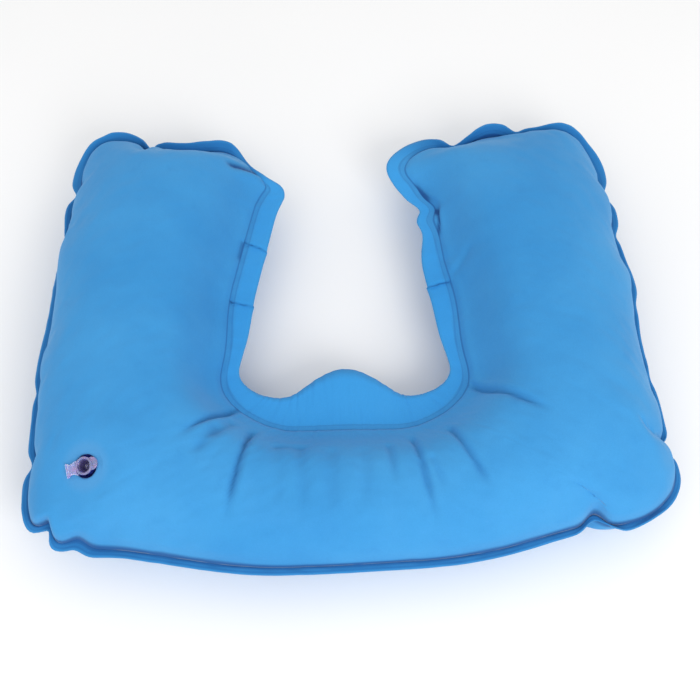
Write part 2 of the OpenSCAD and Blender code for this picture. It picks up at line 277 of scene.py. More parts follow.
class Seam:
    """Closed outline with rounded corners, anticlockwise from above."""

    def __init__(self, half):
        corners = half + [(-x, y, r) for x, y, r in reversed(half)]
        points = []
        for k, (x, y, r) in enumerate(corners):
            p = np.array([x, y], float)
            u = unit(np.array(corners[k - 1][:2]) - p)
            v = unit(np.array(corners[(k + 1) % len(corners)][:2]) - p)
            half_angle = math.acos(u @ v) / 2
            centre = p + unit(u + v) * r / math.sin(half_angle)
            first = p + u * r / math.tan(half_angle) - centre
            last = p + v * r / math.tan(half_angle) - centre
            sweep = math.atan2(first[0] * last[1] - first[1] * last[0], first @ last)
            t = np.linspace(0, sweep, ARC_STEPS + 1)[:, None]
            side = np.array([-first[1], first[0]])
            points.append(centre + first * np.cos(t) + side * np.sin(t))
        ring = np.vstack(points)
        self.ring = np.vstack([ring, ring[:1]])
        self.along = np.r_[0, np.cumsum(np.linalg.norm(np.diff(self.ring, axis=0), axis=1))]
        self.length = self.along[-1]

    def corner(self, k, step=ARC_STEPS // 2):
        """Length along the seam to a point of rounded corner k, by default its middle."""
        return self.along[k * (ARC_STEPS + 1) + step]

    def at(self, s):
        s = np.mod(s, self.length)
        return np.stack([np.interp(s, self.along, self.ring[:, k]) for k in (0, 1)], -1)

    def outward(self, s):
        """Unit directions out of the film, square to the seam."""
        d = self.at(s + 1) - self.at(s - 1)
        return np.stack([d[..., 1], -d[..., 0]], -1) / np.linalg.norm(d, axis=-1, keepdims=True)

    def place(self, x, y):
        """Length along the seam to its nearest point to x, y."""
        s = np.arange(0, self.length, 0.5)
        return s[np.argmin(((self.at(s) - [x, y]) ** 2).sum(1))]

    def gap(self, s, s0):
        """Signed length from s0 to s, the short way round."""
        return np.mod(s - s0 + self.length / 2, self.length) - self.length / 2

    def inside(self, s):
        """1 along the opening, from mouth to mouth, and 0 round the outside."""
        s = np.mod(s, self.length)
        return smooth((s - self.corner(3, 0)) / WIDEN) * smooth((self.corner(8, ARC_STEPS) - s) / WIDEN)

    def margin(self, s):
        """Width of the trimmed margin outside the seam."""
        p = self.at(s)
        x = np.clip(np.abs(p[:, 0] + CHIN_LEAN * self.outward(s)[:, 0]) / CHIN_HALF, 0, 1)
        bump = np.where(p[:, 1] < 0, np.cos(x * math.pi / 2) ** 2, 0)
        narrow = sum(by * np.exp(-(((p - [x, y]) / reach) ** 2).sum(-1)) for x, y, reach, by in NARROW)
        outer = OUTER_MARGIN + (END_MARGIN - OUTER_MARGIN) * smooth((p[:, 1] - ENDS_FROM) / ENDS_OVER)
        return outer + self.inside(s) * (INNER_MARGIN - outer + CHIN_BUMP * bump - narrow)

    def notched(self, s):
        """Points of the seam, drawn in at each notch."""
        depth = sum(d * np.exp(-((self.gap(s, self.place(x, y)) / w) ** 2)) for x, y, d, w in NOTCHES)
        return self.at(s) - self.outward(s) * depth[:, None]


class Dome:
    """Rise of a membrane that is held at the seam and pushed up evenly, from 0 to 1."""

    STEP = 4.0  # cell of the grid that it is worked out on
    REACH = 80.0  # the rise levels off this far from the seam
    ROUNDS = 2500
    POWER = 0.55  # makes the section rounder than a membrane's

    def __init__(self, seam):
        pad = 8
        self.x = np.arange(-HALF_W - pad, HALF_W + pad + 1, self.STEP)
        self.y = np.arange(FRONT_Y - pad, END_Y + pad + 1, self.STEP)
        x, y = np.meshgrid(self.x, self.y, indexing="ij")
        inside = self.contains(seam.at(np.arange(0, seam.length, 3.0)), x, y)
        f = np.zeros(x.shape)
        pull = 4 / self.STEP**2 + 1 / self.REACH**2
        for _ in range(self.ROUNDS):
            near = np.zeros_like(f)
            near[1:-1, 1:-1] = f[2:, 1:-1] + f[:-2, 1:-1] + f[1:-1, 2:] + f[1:-1, :-2]
            f = np.where(inside, (near / self.STEP**2 + 1) / pull, 0)
        self.field = f / f.max()

    @staticmethod
    def contains(ring, x, y):
        inside = np.zeros(x.shape, bool)
        for (x1, y1), (x2, y2) in zip(ring, np.roll(ring, -1, 0)):
            if y1 != y2:
                crosses = (y1 > y) != (y2 > y)
                inside ^= crosses & (x < (x2 - x1) * (y - y1) / (y2 - y1) + x1)
        return inside

    def at(self, p):
        i = (p[..., 0] - self.x[0]) / self.STEP
        j = (p[..., 1] - self.y[0]) / self.STEP
        a = np.clip(i.astype(int), 0, len(self.x) - 2)
        b = np.clip(j.astype(int), 0, len(self.y) - 2)
        u, v = i - a, j - b
        f = self.field
        low = f[a, b] * (1 - v) + f[a, b + 1] * v
        high = f[a + 1, b] * (1 - v) + f[a + 1, b + 1] * v
        return np.maximum(low * (1 - u) + high * u, 0) ** self.POWER


# ---- Film grid ----

# The grid runs from the end of one arm to the end of the other, and across from the outer seam to the
# inner one. END_CELLS is how far the rounded ends of the arms bend it.
ARM_CELLS, BAR_CELLS, ACROSS, END_CELLS = 66, 90, 34, 22
ALONG = 2 * ARM_CELLS + BAR_CELLS
EDGE_ANGLE = math.radians(66)
# Rings of the relaxed margin, as shares of its width
MARGIN_RINGS = (0.3, 0.65, 1.0)


class Plan:
    """The film's grid over one outline: its points, their places on the seam, and the margin's rings."""

    def __init__(self, seam, edge, even):
        i = np.arange(ALONG + 1)
        stations = [0, ARM_CELLS, ARM_CELLS + BAR_CELLS, ALONG]
        end_r, mouth_r, mouth_l, end_l = (seam.corner(k) for k in (2, 3, 8, 9))
        outer_at = [end_l - seam.length, seam.corner(10) - seam.length, seam.corner(1), end_r]
        outer = np.interp(i, stations, outer_at)
        inner = np.interp(i, stations, [mouth_l, seam.corner(6), seam.corner(5), mouth_r])
        flat = np.linspace(0, 1, ACROSS + 1)
        # On the dome the cells are even along its arc, so they are narrow in plan at the seam
        arc = 0.5 * (1 + np.sin((2 * flat - 1) * EDGE_ANGLE) / math.sin(EDGE_ANGLE))
        v = (flat if even else arc)[:, None]
        left, right = end_l - (mouth_r - end_r) * flat, end_r + (mouth_r - end_r) * flat
        o, n, a, b = (edge(s) for s in (outer, inner, left, right))
        self.grid = (1 - v) * o[:, None] + v * n[:, None]
        # The rounded ends of the arms bend the grid near them
        fade = np.maximum(0, 1 - i / END_CELLS)[:, None, None] ** 2
        self.grid += fade * (a - (1 - v) * a[:1] - v * a[-1:])
        self.grid += fade[::-1] * (b - (1 - v) * b[:1] - v * b[-1:])
        self.edge_s = np.r_[outer, right[1:], inner[-2::-1], left[-2:0:-1]]
        self.width = seam.margin(self.edge_s)
        self.outside = 1 - seam.inside(self.edge_s)
        out = seam.outward(self.edge_s)
        self.rings = [edge(self.edge_s) + out * (self.width * f)[:, None] for f in MARGIN_RINGS]


# Point numbers of the grid, those round its edge in the seam's order, its quads, and the part of the
# edge that is the inner seam
CELL = np.arange((ALONG + 1) * (ACROSS + 1)).reshape(ALONG + 1, ACROSS + 1)
EDGE = np.r_[CELL[:, 0], CELL[-1, 1:], CELL[-2::-1, -1], CELL[0, -2:0:-1]]
QUADS = np.stack([CELL[:-1, :-1], CELL[1:, :-1], CELL[1:, 1:], CELL[:-1, 1:]], -1).reshape(-1, 4)
INNER_EDGE = slice(ALONG + ACROSS, 2 * ALONG + ACROSS + 1)


def ring_numbers(count, size, first=0):
    """Point numbers of rings that follow one another and have one size."""
    return [first + k * size + np.arange(size) for k in range(count)]


def ring_quads(rings):
    """Quads between rings of point numbers, from the first ring outwards."""
    pairs = zip(rings, rings[1:])
    return np.vstack([np.stack([a, b, np.roll(b, -1), np.roll(a, -1)], -1) for a, b in pairs])


def pulled(points):
    """Points with the pulls of PULLS added. The flat round the valve stays as it is."""
    move = np.zeros_like(points)
    for x, y, dx, dy, dz, reach in PULLS:
        near = np.exp(-((points[:, 0] - x) ** 2 + (points[:, 1] - y) ** 2) / reach**2)
        move += near[:, None] * np.array([dx, dy, dz])
    away = np.linalg.norm(points[:, :2] - VALVE_AT[:2], axis=1)
    free = smooth((away - VALVE_FLAT) / (VALVE_BLEND - VALVE_FLAT))
    # The floor side does not rise with the seam
    free *= np.where(points[:, 2] < SEAM_Z, smooth(points[:, 2] / SEAM_Z), 1)
    return points + move * free[:, None]


# ---- Relaxing as cloth ----

FILM_STIFFNESS = 0.07
PRESSURE = 4
SETTLE_FRAMES = 60
# How firmly the outer and inner seam are held where they start
OUTER_PIN, INNER_PIN = 0.08, 0.5
# Uneven heights that start the folds
SHAKE, SEED = 0.3, 1
# How far the margin turns up behind the arms' ends, from where, and over what length
CURL, CURL_FROM, CURL_OVER = math.radians(55), 118, 30


def relaxed(start, rest, faces, pins, pressed):
    """The points of a cloth after it has settled under air pressure. All lengths are those of rest."""
    obj = new_object("relax", start, faces)
    obj.shape_key_add(name="Basis", from_mix=False)
    key = obj.shape_key_add(name="rest", from_mix=False)
    key.data.foreach_set("co", (rest * MM).astype(np.float32).ravel())
    key.value = 0
    group = obj.vertex_groups.new(name="pins")
    for k in np.nonzero(pins)[0]:
        group.add([int(k)], float(pins[k]), "REPLACE")
    obj.vertex_groups.new(name="pressed").add([int(k) for k in pressed], 1, "REPLACE")
    cloth = obj.modifiers.new("cloth", "CLOTH")
    s = cloth.settings
    s.quality = 5
    s.mass = 0.02
    s.air_damping = 1
    s.tension_stiffness = s.compression_stiffness = 40
    s.shear_stiffness = 20
    s.bending_model = "ANGULAR"
    s.bending_stiffness = FILM_STIFFNESS
    s.tension_damping = s.compression_damping = s.shear_damping = 5
    s.bending_damping = 0.5
    s.use_pressure = True
    s.uniform_pressure_force = PRESSURE
    s.vertex_group_pressure = "pressed"
    s.vertex_group_mass = "pins"
    s.pin_stiffness = 1
    s.rest_shape_key = key
    s.effector_weights.gravity = 0
    cloth.collision_settings.use_collision = False
    scene = bpy.context.scene
    cloth.point_cache.frame_start, cloth.point_cache.frame_end = 1, SETTLE_FRAMES
    for number in range(1, SETTLE_FRAMES + 1):
        scene.frame_set(number)
    shaped = obj.evaluated_get(bpy.context.evaluated_depsgraph_get())
    points = points_of(shaped.data) / MM
    mesh = obj.data
    bpy.data.objects.remove(obj)
    bpy.data.meshes.remove(mesh)
    scene.frame_set(1)
    return points


def curled(edge, rings, plan):
    """The outer margin turned up behind the ends of the arms, more in the middle of each lobe."""
    turn = CURL * smooth((edge[:, 1] - CURL_FROM) / CURL_OVER)
    turn[plan.width > END_MARGIN + 0.5] = 0  # not inside the opening
    out = []
    for ring in rings:
        d = ring - edge
        reach = np.linalg.norm(d, axis=1)
        flat = d * np.cos(turn)[:, None]
        flat[:, 2] += reach * np.sin(turn)
        out.append(edge + flat)
    return np.array(out)


def cushion_form():
    """Grids of the upper and lower film and the margin's rings, in mm, after relaxing."""
    seam = Seam(HALF_SEAM)
    sheet = Seam(HALF_SHEET)
    plan = Plan(seam, seam.notched, even=False)
    flat = Plan(sheet, sheet.at, even=True)
    rise = Dome(seam).at(plan.grid)
    rise[0] = rise[-1] = 0
    rise[:, 0] = rise[:, -1] = 0
    top = SEAM_Z + rise * (HEIGHT - SEAM_Z - FILM)
    low = SEAM_Z - rise * (SEAM_Z - FILM)
    # The welded disc holds the upper film flat round the valve
    away = plan.grid - VALVE_AT[:2]
    held = VALVE_AT[2] - FILM * VALVE_UP[2] - (away @ VALVE_UP[:2]) / VALVE_UP[2]
    reach = np.linalg.norm(away, axis=-1)
    top = held + (top - held) * smooth((reach - VALVE_FLAT) / (VALVE_BLEND - VALVE_FLAT))

    cells = CELL.size
    numbers = np.arange(cells) + cells
    numbers[EDGE] = EDGE
    rings = ring_numbers(len(MARGIN_RINGS), len(EDGE), 2 * cells)

    def level(p):
        return np.c_[p, np.full(len(p), SEAM_Z)]

    xy = plan.grid.reshape(-1, 2)
    start = np.vstack([np.c_[xy, top.ravel()], np.c_[xy, low.ravel()], *map(level, plan.rings)])
    flat_xy = flat.grid.reshape(-1, 2)
    rest = np.vstack([level(flat_xy), level(flat_xy), *map(level, flat.rings)])
    faces = np.vstack([QUADS, numbers[QUADS][:, ::-1], ring_quads([EDGE, *rings])])

    pins = np.zeros(len(start))
    pins[EDGE] = OUTER_PIN
    pins[EDGE[INNER_EDGE]] = INNER_PIN
    pins[:cells][(reach < VALVE_FLAT).ravel()] = 1
    # Only the points that a face uses go into the cloth
    used = np.unique(faces)
    order = np.full(len(start), -1)
    order[used] = np.arange(len(used))
    shaken = start.copy()
    shaken[:, 2] += np.random.default_rng(SEED).normal(0, SHAKE, len(start))
    shaken[pins == 1] = start[pins == 1]
    pressed = order[np.unique(faces[: 2 * len(QUADS)])]
    settled = relaxed(shaken[used], rest[used], order[faces], pins[used], pressed)
    points = start.copy()
    points[used] = pulled(settled)
    upper, lower = points[:cells], points[numbers]
    margin = curled(points[EDGE], [points[ring] for ring in rings], plan)
    return seam, plan, upper, lower, margin


# ---- Films ----

# Rings of the finished margin, as shares of the way from the seam to the first ring that was relaxed
WELD_RINGS = (0.11, 0.27, 0.58, 0.73, 0.89)
# Creases of the upper film: start, end, bow to the left of the way, depth, half width, shade
CREASES = [
    ((-62, -50), (-99, -92), 2.5, 2.6, 1.9, 0.50),
    ((-54, -74), (-70, -140), -0.4, 2.8, 1.9, 0.55),
    ((74, -40), (120, -84), -4.0, 2.6, 1.9, 0.45),
    ((58, -77), (80, -127), -1.5, 2.2, 1.9, 0.40),
    ((37, -80), (49, -146), -1.0, 2.2, 1.9, 0.35),
    ((23, -89), (26, -120), 0, 1.4, 2.2, 0.25),
    ((46, -102), (53, -126), 0, 1.0, 2.0, 0.15),
    ((-74, -78), (-90, -104), 1.0, 1.3, 3.0, 0.30),
    ((-66, -72), (-80, -92), 1.0, 1.2, 2.6, 0.30),
    ((-42, -86), (-39, -136), 0, 1.0, 4.0, 0.12),
    ((-28, -88), (-26, -136), 0, 1.3, 3.5, 0.18),
    ((-10, -91), (-10, -138), 0, 1.2, 4.0, 0.15),
    ((9, -92), (9, -138), 0, 1.1, 3.5, 0.15),
    ((-44, -91), (-18, -92), 0, 0.6, 1.4, 0.25),
    ((-53, 126), (-79, 119), 0.5, 2.2, 2.8, 1.0),
    ((65.8, 89), (49.5, 119), 0, 1.3, 1.4, 0.85),
    ((65.4, 93), (66.4, 66), 0, 1.6, 1.0, 0.90),
    ((68, 87), (55, 114), 0, 0.4, 4.6, 0.26),
    ((64, 42), (71, 28), 0, 2.0, 1.6, 0.60),
    ((69, 36), (86, 54), -1.5, 0.9, 2.4, 0.15),
    ((-64.5, 69), (-68.5, 50), 0, 1.4, 1.4, 0.60),
]
# Pleats across the margin inside the opening: x, y of the lap's inner end, its slope, rise and lap
PLEATS = [(-64, 69, -0.54, 1.8, 2.4), (-71, 22, -0.3, 1.5, 2.0), (66, 34, 0.25, 1.6, 2.2)]
# Reach of a pleat along and across the margin, and half width and depth of the shade in its fold
LAP_FADE, LAP_ACROSS, LAP_LINE, LAP_SHADE = 7, 20, 0.9, 0.7
# It starts this far outside the seam and is whole over this much. The lower layer moves by this share.
LAP_FROM, LAP_OVER, LAP_UNDER = -1, 2.5, 0.5
# A crease fades in and out over these shares of its length. Its depth is whole this far inside the
# seam, its shade ends this far outside the seam, and both are whole this far from the valve's flat
CREASE_IN, CREASE_OUT = 0.12, 0.35
CREASE_INSIDE, SHADE_EDGE, CREASE_CLEAR = 2, 0.6, 6
# Beside its sharp groove it has a wide one and a raised lip: depth share, then width or place in
# half widths
WIDE_SHARE, WIDE_BY = 0.35, 3
LIP_SHARE, LIP_AT = 0.3, 2.2
# The film next to the inner seam is gathered, so that it climbs slowly. How much of its rise is left
# at the seam, and how far from the seam it has all of it
EASED, EASED_OVER = 0.28, 17
# That starts at this share of the way from the outer seam to the inner one, over this share
EASED_FROM, EASED_RAMP = 0.35, 0.2
# Depth of the pressed weld band, where it starts and ends from the seam, and how soft its sides are
WELD_DEPTH, WELD_FROM, WELD_TO, WELD_SOFT = 0.12, 0.2, 3.4, 0.6
# The film is eased onto the ground over this height
REST_H = 1.5
# Off the margin, to_cut is the distance from the seam plus this. The recess counts as this far inside.
CUT_OFFSET, RECESS_IN = 50, 35
# The grid is opened this far outside the recess and up to this height, and its edge is then found
# this far out
OPEN_BY, OPEN_H, LOOP_BY = 5, 6, 12
# Rings round the recess: radius, height, and how far the film is puckered on the pull tab's side
RECESS_RINGS = [
    (11.4, 0, 0),
    (10.9, 0, 0.12),
    (10.4, 0, -0.35),
    (9.9, 0, 0.10),
    (9.4, 0, -0.30),
    (8.8, 0, 0.06),
    (7.9, 0, 0),
    (7.45, -0.12, 0),
    (7.2, -0.4, 0),
    (7.15, -0.75, 0),
]
# The rings become even over this many of them, and the puckers are this wide in radians
EVEN_AFTER, PUCKER_HALF = 6, 0.5


def crease(points, a, b, bow, depth, width, shade):
    """Lift and shade of a fold at each point: a sharp groove from a to b in a wide shallow one."""
    a, b = np.array(a, float), np.array(b, float)
    d = b - a
    length = np.linalg.norm(d)
    d /= length
    q = points[:, :2] - a
    t = q @ d / length
    x = q @ np.array([-d[1], d[0]]) - bow * 4 * t * (1 - t)
    fade = smooth(t / CREASE_IN) * smooth((1 - t) / CREASE_OUT)
    sharp = np.exp(-((x / width) ** 2))
    groove = sharp + WIDE_SHARE * np.exp(-((x / (WIDE_BY * width)) ** 2))
    lip = LIP_SHARE * np.exp(-(((x - LIP_AT * width) / width) ** 2))
    return depth * fade * (lip - groove), shade * fade * sharp


def lapped(points, from_seam, x, y, slope, rise, lap):
    """Points of the margin with one part of it lapped over the next, as in a pleat, and its shade."""
    along = points[:, 1] - y - slope * (points[:, 0] - x)
    near = np.exp(-(((points[:, 0] - x) / LAP_ACROSS) ** 2)) * smooth((from_seam - LAP_FROM) / LAP_OVER)
    over = near * np.where(along > 0, np.exp(-np.abs(along) / LAP_FADE), 0)
    under = near * np.where(along > 0, 0, np.exp(-np.abs(along) / LAP_FADE))
    out = points.copy()
    out[:, 2] += rise * over - LAP_UNDER * rise * under
    out[:, 1] -= lap * over
    out[:, 0] -= math.copysign(LAP_UNDER * lap, x) * under * smooth(from_seam / INNER_MARGIN)
    return out, LAP_SHADE * near * np.exp(-((along / LAP_LINE) ** 2))


def inward_distance(plan, seam):
    """Distance of each grid point from the seam, in plan before relaxing."""
    ring = seam.at(np.arange(0, seam.length, 2.5))
    out = np.array([math.sqrt(((ring - p) ** 2).sum(1).min()) for p in plan.grid.reshape(-1, 2)])
    out[EDGE] = 0
    return out


def film(name, dome, rings, plan, seam, upper):
    """One film with its half of the margins, as a thin closed solid on the relaxed form."""
    first = MARGIN_RINGS[0] * plan.width
    inward = inward_distance(plan, seam)
    if upper:
        share = np.tile(np.arange(ACROSS + 1) / ACROSS, ALONG + 1)
        inner_side = smooth((share - EASED_FROM) / EASED_RAMP)
        ease = 1 - (1 - EASED) * np.exp(-((inward / EASED_OVER) ** 2))
        seam_z = np.repeat(dome.reshape(ALONG + 1, ACROSS + 1, 3)[:, -1, 2], ACROSS + 1)
        dome = dome.copy()
        dome[:, 2] -= np.maximum(dome[:, 2] - seam_z, 0) * (1 - ease) * inner_side
    edge = dome[EDGE]
    inserted = [edge + (rings[0] - edge) * f for f in WELD_RINGS]
    all_rings = np.array([*inserted, *rings[1:]])
    offsets = [*(f * first for f in WELD_RINGS), *(f * plan.width for f in MARGIN_RINGS[1:])]
    cells = len(dome)
    numbers = ring_numbers(len(all_rings), len(EDGE), cells)
    points = np.vstack([dome, *all_rings])
    faces = np.vstack([QUADS, ring_quads([EDGE, *numbers])])
    if not upper:
        faces = faces[:, ::-1]
    from_seam = np.r_[-inward, np.concatenate(offsets)]
    to_cut = np.r_[inward + CUT_OFFSET, np.concatenate([plan.width - o for o in offsets])]
    outer = np.r_[np.zeros(cells), np.tile(plan.outside, len(all_rings))]
    outer[EDGE] = plan.outside
    attributes = {"from_seam": from_seam, "to_cut": to_cut, "outer": outer}
    obj = new_object(name, points, faces, attributes)
    subdivide(obj)
    finish_surface(obj, upper)
    if upper:
        cut_recess(obj)
    solid = obj.modifiers.new("thickness", "SOLIDIFY")
    solid.thickness = FILM * MM
    solid.offset = 1
    solid.use_even_offset = False
    apply_modifiers(obj)
    return obj


def finish_surface(obj, upper):
    """Adds the pressed weld band, creases and pleats to a subdivided film."""
    mesh = obj.data
    points, normals = points_of(mesh) / MM, points_of(mesh, "normal")
    from_seam = attribute_of(mesh, "from_seam")
    band = smooth((from_seam - WELD_FROM) / WELD_SOFT) * smooth((WELD_TO - from_seam) / WELD_SOFT)
    lift = -WELD_DEPTH * band
    clear = smooth((np.linalg.norm(to_valve(points), axis=1) - VALVE_FLAT) / CREASE_CLEAR)
    dark = np.zeros(len(points))
    if upper:
        for fold in CREASES:
            rise, shade = crease(points, *fold)
            lift += rise * smooth(-from_seam / CREASE_INSIDE) * clear
            dark += shade * smooth((SHADE_EDGE - from_seam) / SHADE_EDGE) * clear
    out = points + normals * lift[:, None]
    for pleat in PLEATS:
        out, shade = lapped(out, from_seam, *pleat)
        dark += shade
    # The painted shade of the creases and pleats goes to the material as fold
    add_attribute(mesh, "fold", dark)
    # It is flat where it rests
    eased = FILM + np.exp((out[:, 2] - REST_H - FILM) / REST_H) * REST_H
    out[:, 2] = np.where(out[:, 2] < REST_H + FILM, eased, out[:, 2])
    mesh.vertices.foreach_set("co", (out * MM).astype(np.float32).ravel())
    mesh.update()


def cut_recess(obj):
    """Opens the round recess in the flat of the upper film, with a rounded edge that turns in."""
    mesh = obj.data
    points = points_of(mesh) / MM
    local = to_valve(points)
    gone = (np.hypot(local[:, 0], local[:, 1]) < RECESS_R + OPEN_BY) & (np.abs(local[:, 2]) < OPEN_H)
    faces = [tuple(p.vertices) for p in mesh.polygons]
    kept = [f for f in faces if not gone[list(f)].any()]
    used = {half for f in kept for half in zip(f, f[1:] + f[:1])}
    # The loop round the hole, in the direction of the faces that are left out
    halves = (half for f in faces for half in zip(f, f[1:] + f[:1]))
    after = {a: b for a, b in halves if (a, b) not in used and (b, a) in used}
    start = next(k for k in after if np.linalg.norm(local[k]) < RECESS_R + LOOP_BY)
    loop = [start]
    while after[loop[-1]] != start:
        loop.append(after[loop[-1]])
    count = len(loop)
    turn = np.unwrap(np.arctan2(local[loop, 1], local[loop, 0]))
    even = np.arange(count) * 2 * math.pi / count
    # The outer rings keep the loop's own angles, smoothed, and the inner ones are even
    drift = turn - even
    for _ in range(4):
        drift = (np.roll(drift, 1) + 2 * drift + np.roll(drift, -1)) / 4
    rings = []
    for k, (r, z, pucker) in enumerate(RECESS_RINGS):
        turn = even + drift.mean() + (drift - drift.mean()) * max(0, 1 - k / EVEN_AFTER)
        side = np.exp(-((np.mod(turn + math.pi, 2 * math.pi) - math.pi) / PUCKER_HALF) ** 2)
        rings.append(np.c_[r * np.cos(turn), r * np.sin(turn), z - FILM + pucker * side])
    numbers = [np.array(loop), *ring_numbers(len(rings), count, len(points))]
    points = np.vstack([points, to_row(np.vstack(rings))])
    kept += [tuple(q) for q in ring_quads(numbers)[:, ::-1]]
    left = np.unique(np.concatenate([np.array(f) for f in kept]))
    order = np.full(len(points), -1)
    order[left] = np.arange(len(left))
    added = {"from_seam": -RECESS_IN, "to_cut": RECESS_IN + CUT_OFFSET, "outer": 0, "fold": 0}
    attributes = {}
    for key, value in added.items():
        attributes[key] = np.r_[attribute_of(mesh, key), np.full(count * len(rings), value)][left]
    shaped = new_object(obj.name, points[left], [order[list(f)] for f in kept], attributes)
    old, obj.data = obj.data, shaped.data
    bpy.data.objects.remove(shaped)
    bpy.data.meshes.remove(old)
    obj.data.name = obj.name


# ---- Valve pieces ----

# Order of a quad's corners that shows its other side
TURNED = [0, 3, 2, 1]


def lathe(name, profile, steps=72):
    """A ring or disc turned about the valve's axis: profile is a closed loop of (r, z) in mm."""
    turn = np.arange(steps) * 2 * math.pi / steps
    points = [np.c_[r * np.cos(turn), r * np.sin(turn), np.full(steps, z)] for r, z in profile]
    rings = ring_numbers(len(profile), steps)
    return new_object(name, to_row(np.vstack(points)), ring_quads([*rings, rings[0]])[:, TURNED])


def rounded_profile(corners, steps=5):
    """Closed loop of (r, z) from corners with their own radius: (r, z, radius)."""
    out = []
    for k, (x, y, radius) in enumerate(corners):
        p = np.array([x, y], float)
        a = np.array(corners[k - 1][:2], float)
        b = np.array(corners[(k + 1) % len(corners)][:2], float)
        reach = min(radius, 0.48 * np.linalg.norm(a - p), 0.48 * np.linalg.norm(b - p))
        if reach < 1e-3:
            out.append(tuple(p))
            continue
        first, last = p + unit(a - p) * reach, p + unit(b - p) * reach
        for t in np.linspace(0, 1, steps):
            out.append(tuple((1 - t) ** 2 * first + 2 * t * (1 - t) * p + t * t * last))
    return out


def stopper_pieces():
    """Stopper head with a raised rim round a hollow shank, and a half-round pull tab."""
    seat, low = LIP + HEAD_GAP, LIP - SHANK_LEN
    corners = [
        (HEAD_R, seat, 0.25),
        (HEAD_R, seat + HEAD_H, 0.6),
        (4.05, seat + HEAD_H, 0.6),
        (3.7, seat + 0.7, 0.4),
        (2.9, seat - 0.2, 0.6),
        (1.9, low + 0.6, 0.4),
        (0.02, low + 0.55, 0.0),
        (0.02, low, 0.0),
        (2.45, low, 0.4),
        (BORE_R - 0.18, seat - 1.2, 0.5),
        (BORE_R - 0.08, seat, 0.05),
    ]
    head = lathe("stopper_head", rounded_profile(corners))
    local = to_valve(points_of(head.data) / MM)
    radius = np.hypot(local[:, 0], local[:, 1])
    # Painted shade makes the hollow deep violet, and a painted reflection makes its middle paler
    painted_hollow_shade = smooth((4.1 - radius) / 0.5) * smooth((seat + 1.5 - local[:, 2]) / 0.5)
    painted_hollow_shade *= 1 - 0.7 * smooth((1.5 - radius) / 0.8)
    add_attribute(head.data, "painted_hollow_shade", painted_hollow_shade)
    return [head, tab_piece(seat)]


def slab(name, outline, low, high, edge=0.25):
    """A plate with rounded edges in the valve's frame, from a closed plan outline in mm."""
    outline = np.array(outline, float)
    d = np.roll(outline, -1, 0) - np.roll(outline, 1, 0)
    normal = np.c_[d[:, 1], -d[:, 0]] / np.linalg.norm(d, axis=1)[:, None]
    n = len(outline)
    layers = [(-edge, low), (-0.3 * edge, low + 0.3 * edge), (0, low + edge)]
    layers += [(0, high - edge), (-0.3 * edge, high - 0.3 * edge), (-edge, high)]
    points = np.vstack([np.c_[outline + normal * off, np.full(n, z)] for off, z in layers])
    rings = ring_numbers(len(layers), n)
    faces = list(ring_quads(rings)[:, TURNED])
    centre, bottom = outline.mean(0), len(points)
    points = np.vstack([points, [[*centre, low]], [[*centre, high]]])
    for j in range(n):
        m = (j + 1) % n
        faces.append((bottom, m, j))
        faces.append((bottom + 1, rings[-1][j], rings[-1][m]))
    return new_object(name, to_row(points), faces)


def tab_piece(seat):
    """Half-round pull tab on the side of the head away from the strap."""
    inner, root_r = HEAD_R - 0.35, HEAD_R - 0.6
    turn = np.linspace(-1, 1, 25) * math.radians(44)
    root = [(inner * math.cos(t), inner * math.sin(t)) for t in turn[::-1]]
    turn = np.linspace(-1, 1, 33) * math.radians(88)
    lobe = [(root_r + (TAB_REACH - root_r) * math.cos(t), TAB_HALF * math.sin(t)) for t in turn]
    return slab("stopper_tab", lobe + root, seat, seat + TAB_T)


def strap_piece():
    """The strap as one bent strip: out along the lower leg, round the fold and back to the head."""
    leg_steps, bend_steps, cross = 14, 13, 12
    path = [(x, FOLD_Z - FOLD_R) for x in np.linspace(-STEM_R + 0.35, -STRAP_REACH, leg_steps)]
    bend = [math.radians(t) for t in np.linspace(-90, 90, bend_steps)[1:-1]]
    path += [(-STRAP_REACH - FOLD_R * math.cos(t), FOLD_Z + FOLD_R * math.sin(t)) for t in bend]
    path += [(x, FOLD_Z + FOLD_R) for x in np.linspace(-STRAP_REACH, -HEAD_R + 0.3, leg_steps)]
    path = np.array(path)
    tangent = np.gradient(path, axis=0)
    tangent /= np.linalg.norm(tangent, axis=1)[:, None]
    normal = np.c_[-tangent[:, 1], tangent[:, 0]]
    points = []
    # It is narrowest halfway, has ridges at the fold, and its section is a bar with rounded corners
    for (x, z), n in zip(path, normal):
        off = x + STRAP_REACH
        waist = math.sin(math.pi * min(max(off / (STRAP_REACH - HEAD_R), 0), 1)) ** 0.8
        half = STRAP_WAIST / 2 + (STRAP_W - STRAP_WAIST) / 2 * (1 - waist)
        ridge = RIDGE_H * math.cos(2 * math.pi * off / RIDGE_PITCH)
        ridge *= smooth((RIDGE_END - off) / RIDGE_FADE)
        for j in range(cross):
            t = 2 * math.pi * (j + 0.5) / cross
            y = half * np.sign(math.cos(t)) * abs(math.cos(t)) ** 0.35
            w = (STRAP_T / 2 + ridge) * np.sign(math.sin(t)) * abs(math.sin(t)) ** 0.6
            points.append((x + n[0] * w, y, z + n[1] * w))
    rings = ring_numbers(len(path), cross)
    faces = [*ring_quads(rings), rings[0], rings[-1][::-1]]
    obj = new_object("strap_strip", to_row(points), faces)
    subdivide(obj)
    return obj


